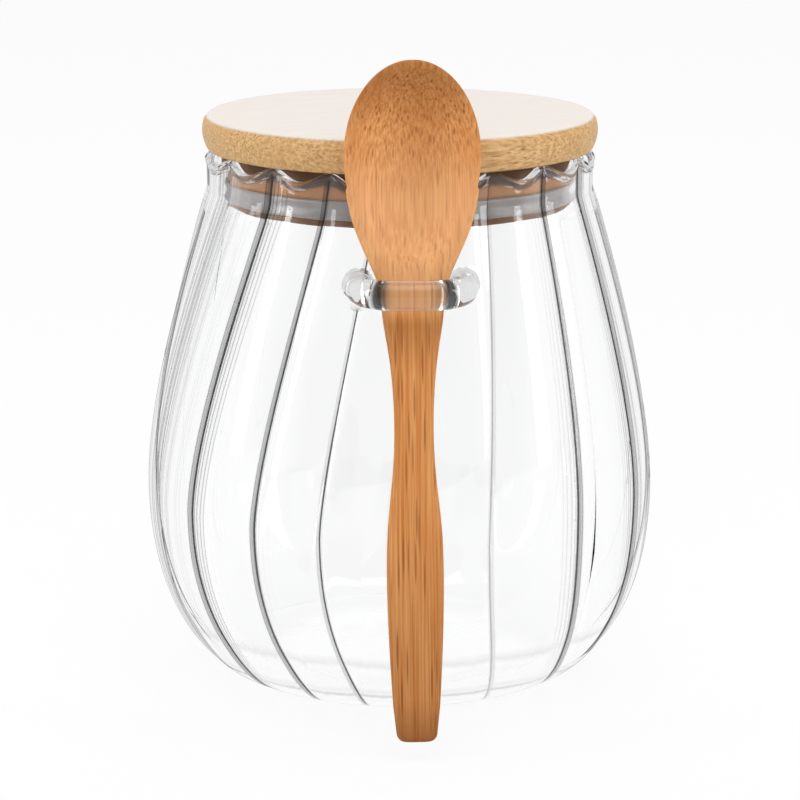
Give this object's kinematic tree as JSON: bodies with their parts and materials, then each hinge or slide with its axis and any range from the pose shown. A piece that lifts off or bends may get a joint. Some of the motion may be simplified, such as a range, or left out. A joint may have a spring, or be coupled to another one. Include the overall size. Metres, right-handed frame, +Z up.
{
  "type": "ribbed glass storage jar with lid and spoon",
  "caption": "Clear lobed glass jar with a bamboo plug lid, a soft seal, and a bamboo spoon hung in a glass loop on its shoulder.",
  "frame": {"origin": "centre of the jar's flat foot, on the surface that it stands on", "axes": "+Z up along the jar's axis; -Y is the front, where the loop and the spoon are"},
  "size_m": [0.104, 0.1167, 0.1319],
  "materials": {
    "glass": "clear, fire-polished",
    "lid_bamboo": "satin bamboo",
    "silicone": "translucent, soft satin",
    "spoon_bamboo": "satin, steamed bamboo"
  },
  "bodies": {
    "root": {"jar": "glass", "lid": "lid_bamboo", "gasket": "silicone", "spoon": "spoon_bamboo"}
  },
  "joints": []
}
